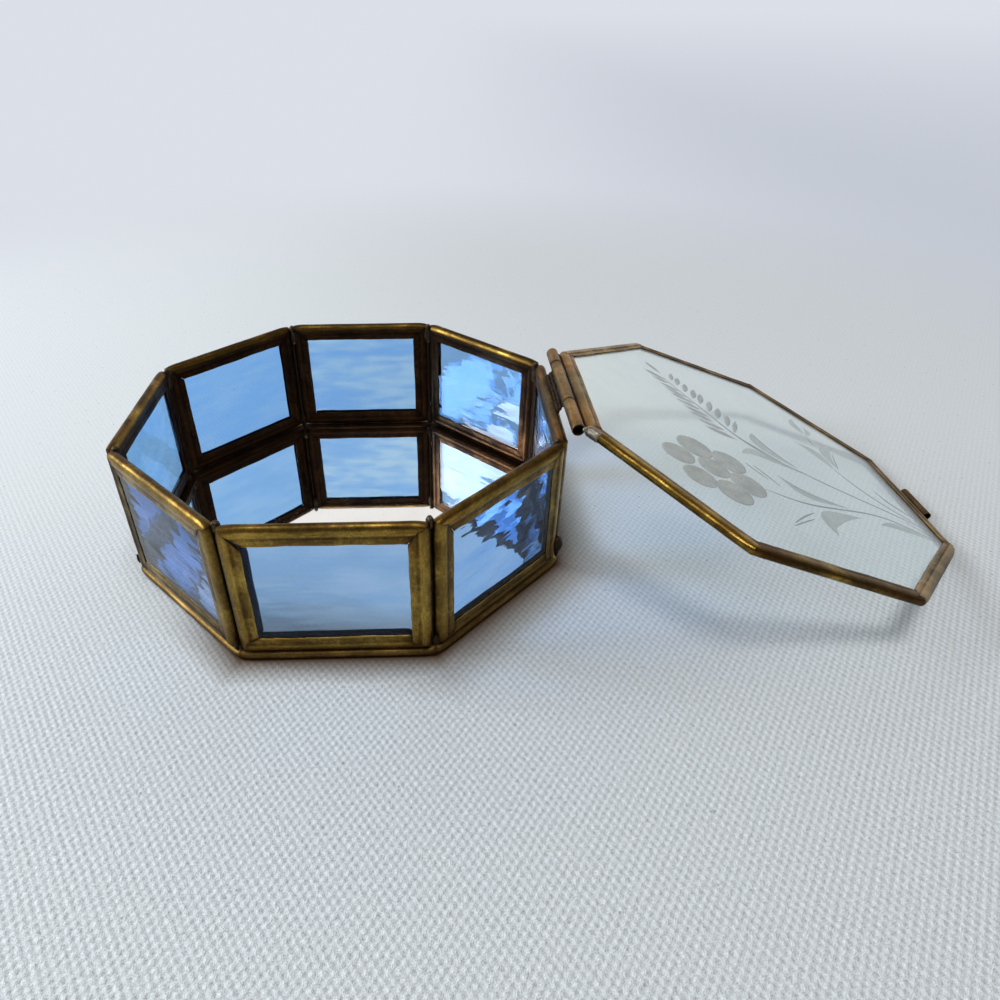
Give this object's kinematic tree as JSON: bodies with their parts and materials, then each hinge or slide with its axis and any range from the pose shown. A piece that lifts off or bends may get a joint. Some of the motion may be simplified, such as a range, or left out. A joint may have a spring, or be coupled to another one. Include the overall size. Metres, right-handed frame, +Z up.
{
  "type": "glass casket box",
  "caption": "Octagonal trinket casket of blue glass panels in folded brass channel, with a mirror base and a hinged cut-glass lid.",
  "frame": {"origin": "centre of the box's base, on the table that it stands on", "axes": "+Z up; +X to the hinge side, where the open lid lies; +Y to the back, along the hinge axis"},
  "size_m": [0.2267, 0.114, 0.0433],
  "materials": {
    "brass": "aged, rolled and folded brass strip",
    "blue_glass": "clear blue sheet glass, slightly wavy",
    "clear_glass": "clear sheet glass with a wheel-cut flower spray",
    "mirror": "silvered glass",
    "solder": "dull soft solder"
  },
  "bodies": {
    "casket": {"side_glass_right": "blue_glass", "side_glass_back_right": "blue_glass", "side_glass_back": "blue_glass", "side_glass_back_left": "blue_glass", "side_glass_left": "blue_glass", "side_glass_front_left": "blue_glass", "side_glass_front": "blue_glass", "side_glass_front_right": "blue_glass", "side_frame_right": "brass", "side_frame_back_right": "brass", "side_frame_back": "brass", "side_frame_back_left": "brass", "side_frame_left": "brass", "side_frame_front_left": "brass", "side_frame_front": "brass", "side_frame_front_right": "brass", "base_mirror": "mirror", "base_frame": "brass", "solder_top": "solder", "solder_bottom": "solder", "box_knuckle": "brass", "box_knuckle_solder": "solder"},
    "lid": {"lid_glass": "clear_glass", "lid_frame": "brass", "lid_knuckle_back": "brass", "lid_knuckle_front": "brass", "lid_solder": "solder", "lift_tab": "brass", "hinge_pin": "brass"}
  },
  "joints": [
    {"name": "lid_hinge", "type": "hinge", "parent": "casket", "child": "lid", "pos_m": [0.05875, 0, 0.04165], "axis": [0, -1, 0], "range_deg": [0, 200.7]}
  ]
}
